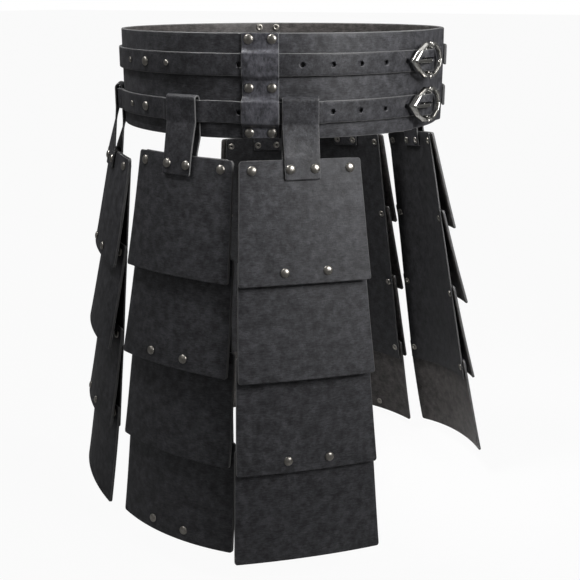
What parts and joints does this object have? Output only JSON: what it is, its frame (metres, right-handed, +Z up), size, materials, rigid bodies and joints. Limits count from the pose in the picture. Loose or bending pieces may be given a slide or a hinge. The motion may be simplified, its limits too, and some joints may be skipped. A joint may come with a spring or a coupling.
{
  "type": "fauld",
  "caption": "Leather waist and hip armour: a wide belt closed by two buckled straps carries articulated panels of overlapping riveted lames that guard both hips",
  "frame": {"origin": "centre of the waist opening at half the belt's height", "axes": "+Z up, the wearer faces -Y, the wearer's left is +X"},
  "size_m": [0.4665, 0.4268, 0.5294],
  "materials": {
    "plate_leather": "dyed black tooling leather, waxed, lightly scuffed",
    "strap_leather": "dyed black strap leather, waxed",
    "liner_leather": "dyed black leather, smooth",
    "rivet_nickel": "nickel plated, bright",
    "buckle_metal": "cast, nickel plated and polished"
  },
  "bodies": {
    "belt": {"wide_belt": "plate_leather", "upper_strap": "strap_leather", "lower_strap": "strap_leather", "right_keeper": "strap_leather", "left_keeper": "strap_leather", "belt_rivets": "rivet_nickel", "upper_chape": "strap_leather", "lower_chape": "strap_leather", "right_front_hanger": "strap_leather", "right_side_hanger": "strap_leather", "right_rear_hanger": "strap_leather", "left_front_hanger": "strap_leather", "left_side_hanger": "strap_leather", "left_rear_hanger": "strap_leather"},
    "upper_frame": {"upper_buckle_frame": "buckle_metal"},
    "upper_prong": {"upper_buckle_prong": "buckle_metal"},
    "lower_frame": {"lower_buckle_frame": "buckle_metal"},
    "lower_prong": {"lower_buckle_prong": "buckle_metal"},
    "right_front_upper": {"right_front_liner": "liner_leather", "right_front_lame_1": "plate_leather", "right_front_lame_2": "plate_leather", "right_front_upper_rivets": "rivet_nickel"},
    "right_front_lower": {"right_front_lame_3": "plate_leather", "right_front_lame_4": "plate_leather", "right_front_lower_rivets": "rivet_nickel"},
    "right_side_upper": {"right_side_liner": "liner_leather", "right_side_lame_1": "plate_leather", "right_side_lame_2": "plate_leather", "right_side_upper_rivets": "rivet_nickel"},
    "right_side_lower": {"right_side_lame_3": "plate_leather", "right_side_lame_4": "plate_leather", "right_side_lower_rivets": "rivet_nickel"},
    "right_rear_upper": {"right_rear_liner": "liner_leather", "right_rear_lame_1": "plate_leather", "right_rear_lame_2": "plate_leather", "right_rear_upper_rivets": "rivet_nickel"},
    "right_rear_lower": {"right_rear_lame_3": "plate_leather", "right_rear_lame_4": "plate_leather", "right_rear_lower_rivets": "rivet_nickel"},
    "left_front_upper": {"left_front_liner": "liner_leather", "left_front_lame_1": "plate_leather", "left_front_lame_2": "plate_leather", "left_front_upper_rivets": "rivet_nickel"},
    "left_front_lower": {"left_front_lame_3": "plate_leather", "left_front_lame_4": "plate_leather", "left_front_lower_rivets": "rivet_nickel"},
    "left_side_upper": {"left_side_liner": "liner_leather", "left_side_lame_1": "plate_leather", "left_side_lame_2": "plate_leather", "left_side_upper_rivets": "rivet_nickel"},
    "left_side_lower": {"left_side_lame_3": "plate_leather", "left_side_lame_4": "plate_leather", "left_side_lower_rivets": "rivet_nickel"},
    "left_rear_upper": {"left_rear_liner": "liner_leather", "left_rear_lame_1": "plate_leather", "left_rear_lame_2": "plate_leather", "left_rear_upper_rivets": "rivet_nickel"},
    "left_rear_lower": {"left_rear_lame_3": "plate_leather", "left_rear_lame_4": "plate_leather", "left_rear_lower_rivets": "rivet_nickel"}
  },
  "joints": [
    {"name": "upper_frame_rock", "type": "hinge", "parent": "belt", "child": "upper_frame", "pos_m": [-0.01075, -0.17081, 0.0195], "axis": [0, 0, 1], "range_deg": [-2, 2]},
    {"name": "upper_prong_lift", "type": "hinge", "parent": "upper_frame", "child": "upper_prong", "pos_m": [-0.01075, -0.17081, 0.0195], "axis": [0, 0, 1], "range_deg": [0, 80]},
    {"name": "lower_frame_rock", "type": "hinge", "parent": "belt", "child": "lower_frame", "pos_m": [-0.01075, -0.17081, -0.023], "axis": [0, 0, 1], "range_deg": [-2, 2]},
    {"name": "lower_prong_lift", "type": "hinge", "parent": "lower_frame", "child": "lower_prong", "pos_m": [-0.01075, -0.17081, -0.023], "axis": [0, 0, 1], "range_deg": [0, 80]},
    {"name": "right_front_swing", "type": "hinge", "parent": "belt", "child": "right_front_upper", "pos_m": [-0.14195, -0.10934, -0.03325], "axis": [-0.6494, 0.7604, 0], "range_deg": [0, 85], "deforming": ["right_front_hanger"]},
    {"name": "right_front_fold", "type": "hinge", "parent": "right_front_upper", "child": "right_front_lower", "pos_m": [-0.15935, -0.12525, -0.24601], "axis": [0.7483, -0.6633, -0.0087], "range_deg": [0, 51], "deforming": ["right_front_liner"]},
    {"name": "right_side_swing", "type": "hinge", "parent": "belt", "child": "right_side_upper", "pos_m": [-0.181, -0.00462, -0.03325], "axis": [-0.007, 1, 0], "range_deg": [0, 85], "deforming": ["right_side_hanger"]},
    {"name": "right_side_fold", "type": "hinge", "parent": "right_side_upper", "child": "right_side_lower", "pos_m": [-0.19828, -0.00249, -0.24592], "axis": [-0.0582, -0.9983, -0.0087], "range_deg": [0, 51], "deforming": ["right_side_liner"]},
    {"name": "right_rear_swing", "type": "hinge", "parent": "belt", "child": "right_rear_upper", "pos_m": [-0.11231, 0.13429, -0.03325], "axis": [0.7986, 0.6018, 0], "range_deg": [0, 85], "deforming": ["right_rear_hanger"]},
    {"name": "right_rear_fold", "type": "hinge", "parent": "right_rear_upper", "child": "right_rear_lower", "pos_m": [-0.124, 0.15792, -0.25981], "axis": [-0.6325, -0.7728, -0.0521], "range_deg": [0, 51], "deforming": ["right_rear_liner"]},
    {"name": "left_front_swing", "type": "hinge", "parent": "belt", "child": "left_front_upper", "pos_m": [0.16748, -0.06847, -0.03325], "axis": [-0.3987, -0.9171, 0], "range_deg": [0, 85], "deforming": ["left_front_hanger"]},
    {"name": "left_front_fold", "type": "hinge", "parent": "left_front_upper", "child": "left_front_lower", "pos_m": [0.18155, -0.10186, -0.25731], "axis": [0.5956, 0.7941, -0.1209], "range_deg": [0, 51], "deforming": ["left_front_liner"]},
    {"name": "left_side_swing", "type": "hinge", "parent": "belt", "child": "left_side_upper", "pos_m": [0.17863, 0.02499, -0.03325], "axis": [0.165, -0.9863, 0], "range_deg": [0, 85], "deforming": ["left_side_hanger"]},
    {"name": "left_side_fold", "type": "hinge", "parent": "left_side_upper", "child": "left_side_lower", "pos_m": [0.20495, 0.01898, -0.26685], "axis": [0.0994, 0.9944, -0.0347], "range_deg": [0, 51], "deforming": ["left_side_liner"]},
    {"name": "left_rear_swing", "type": "hinge", "parent": "belt", "child": "left_rear_upper", "pos_m": [0.13568, 0.11306, -0.03325], "axis": [0.6756, -0.7373, 0], "range_deg": [0, 85], "deforming": ["left_rear_hanger"]},
    {"name": "left_rear_fold", "type": "hinge", "parent": "left_rear_upper", "child": "left_rear_lower", "pos_m": [0.15407, 0.12513, -0.27505], "axis": [-0.6214, 0.7834, -0.0139], "range_deg": [0, 51], "deforming": ["left_rear_liner"]}
  ],
  "couplings": [
    {"joint": "right_front_fold", "follows": "right_front_swing", "ratio": 0.6},
    {"joint": "right_side_fold", "follows": "right_side_swing", "ratio": 0.6},
    {"joint": "right_rear_fold", "follows": "right_rear_swing", "ratio": 0.6},
    {"joint": "left_front_swing", "follows": "left_side_swing", "ratio": 1},
    {"joint": "left_front_fold", "follows": "left_side_swing", "ratio": 0.6},
    {"joint": "left_side_fold", "follows": "left_side_swing", "ratio": 0.6},
    {"joint": "left_rear_swing", "follows": "left_side_swing", "ratio": 1},
    {"joint": "left_rear_fold", "follows": "left_side_swing", "ratio": 0.6}
  ]
}
